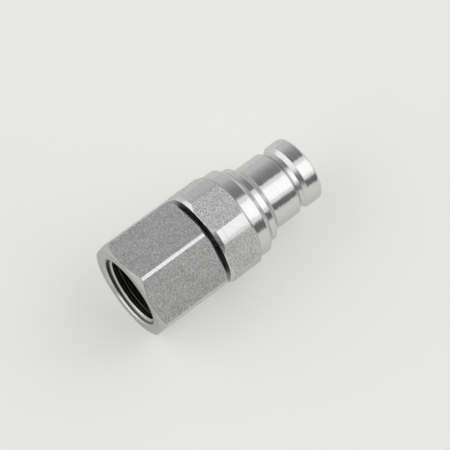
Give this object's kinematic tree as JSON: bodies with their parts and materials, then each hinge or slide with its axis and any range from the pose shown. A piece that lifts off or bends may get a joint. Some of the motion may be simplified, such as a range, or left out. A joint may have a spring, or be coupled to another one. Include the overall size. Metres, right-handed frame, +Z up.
{
  "type": "hydraulic quick coupling nipple",
  "caption": "Flush-face male half of a hydraulic quick coupling: hexagon adaptor with a female pipe port, grooved locking nose, and a flat sprung valve that opens when pushed in.",
  "frame": {"origin": "centre of the flush nose face, on the coupling axis", "axes": "+X along the coupling axis out of the nose, +Z up as the part lies on its two hexagons"},
  "size_m": [0.06, 0.0306, 0.0282],
  "materials": {
    "body_zinc": "bright zinc-plated turned steel, satin, with fine turning lines",
    "adaptor_zinc": "zinc-plated drawn hexagon steel, fine gritty satin",
    "seal_rubber": "matte black sealing rubber",
    "valve_steel": "satin turned steel",
    "spring_steel": "drawn spring wire",
    "backup_plastic": "matte white sealing plastic"
  },
  "bodies": {
    "shell": {"nipple_body": "body_zinc", "rear_adaptor": "adaptor_zinc", "adaptor_o_ring": "seal_rubber", "valve_guide": "valve_steel", "valve_spring": "spring_steel"},
    "valve": {"valve_poppet": "valve_steel", "poppet_o_ring": "seal_rubber", "poppet_backup_ring": "backup_plastic"}
  },
  "joints": [
    {"name": "valve_slide", "type": "slide", "parent": "shell", "child": "valve", "axis": [-1, 0, 0], "range_m": [0, 0.009], "stiffness_N_per_m": 1200, "springref_m": -0.01, "deforming": ["valve_spring"]}
  ]
}
